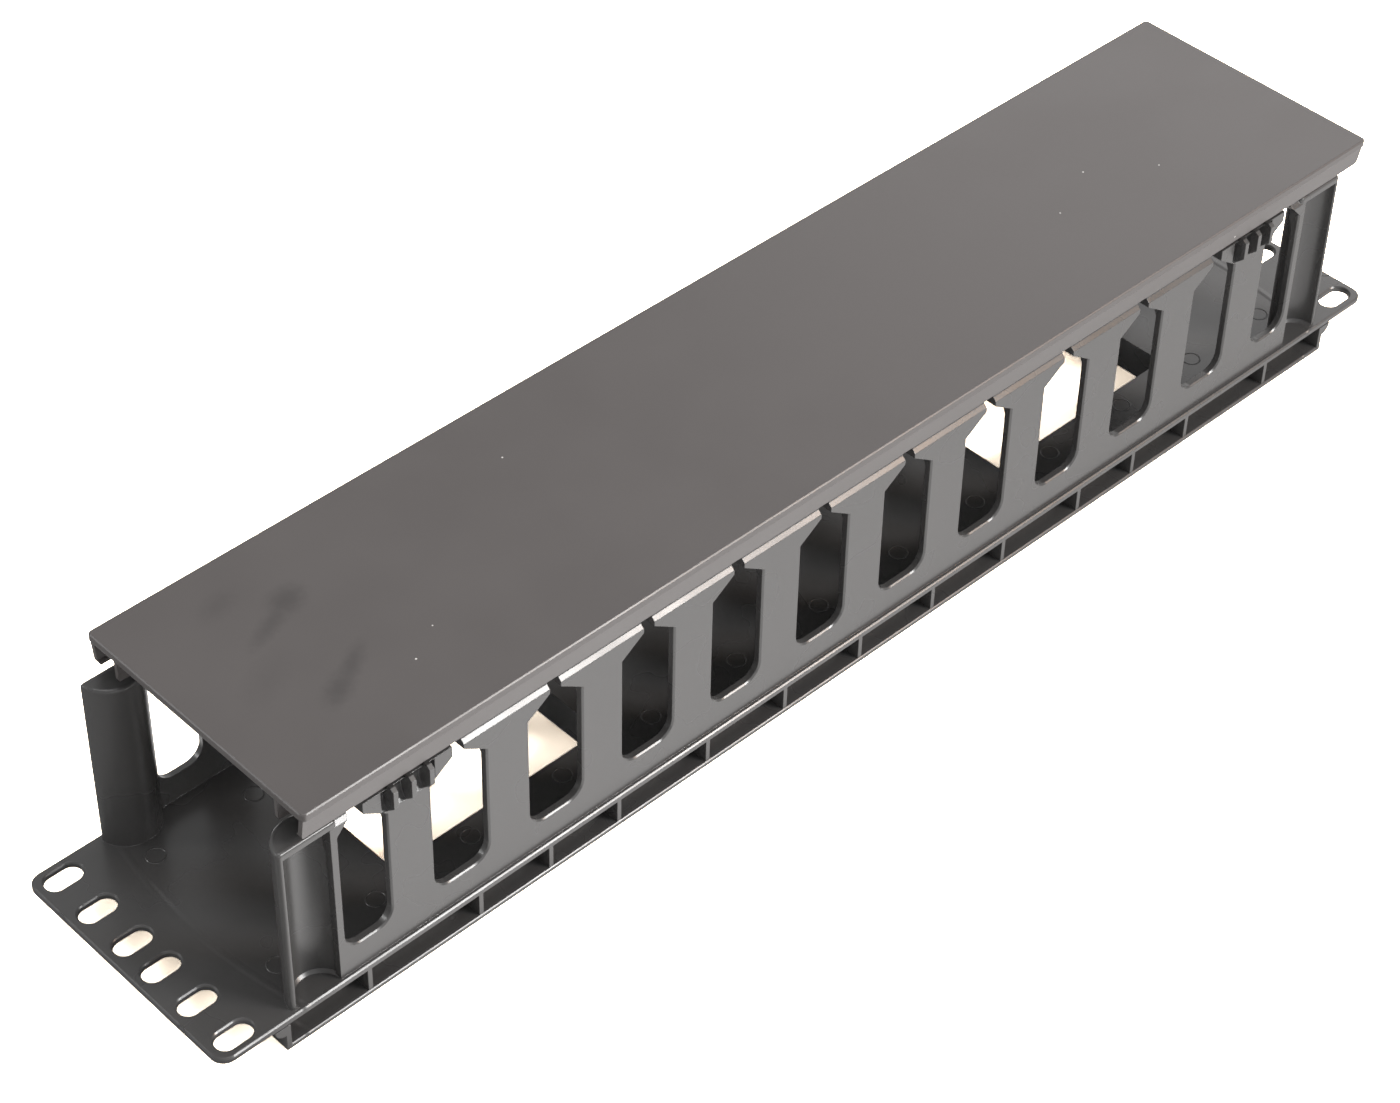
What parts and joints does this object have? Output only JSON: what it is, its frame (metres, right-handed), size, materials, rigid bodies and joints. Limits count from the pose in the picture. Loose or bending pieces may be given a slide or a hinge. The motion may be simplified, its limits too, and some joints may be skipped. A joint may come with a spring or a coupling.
{
  "type": "rack cable management tray",
  "caption": "Horizontal rack cable duct: slotted back plate with ribbed back, finger walls on both long sides, half-round end posts and a hinged cover that clips over the fingers.",
  "frame": {"origin": "centre of the tray on the plane that its back rails rest on, midway between the two columns of rack slots", "axes": "+X along the rack width, +Z out of the rack through the cover, +Y across the two rack units towards the hinge side"},
  "size_m": [0.4826, 0.092, 0.0856],
  "materials": {
    "base_plastic": "black moulded plastic with a fine satin grain",
    "cover_plastic": "black moulded plastic, flat satin sheet with a soft sheen"
  },
  "bodies": {
    "base": {"duct_base": "base_plastic"},
    "cover": {"cover": "cover_plastic"}
  },
  "joints": [
    {"name": "cover_hinge", "type": "hinge", "parent": "base", "child": "cover", "pos_m": [0, 0.0431, 0.0758], "axis": [-1, 0, 0], "range_deg": [0, 110]}
  ]
}
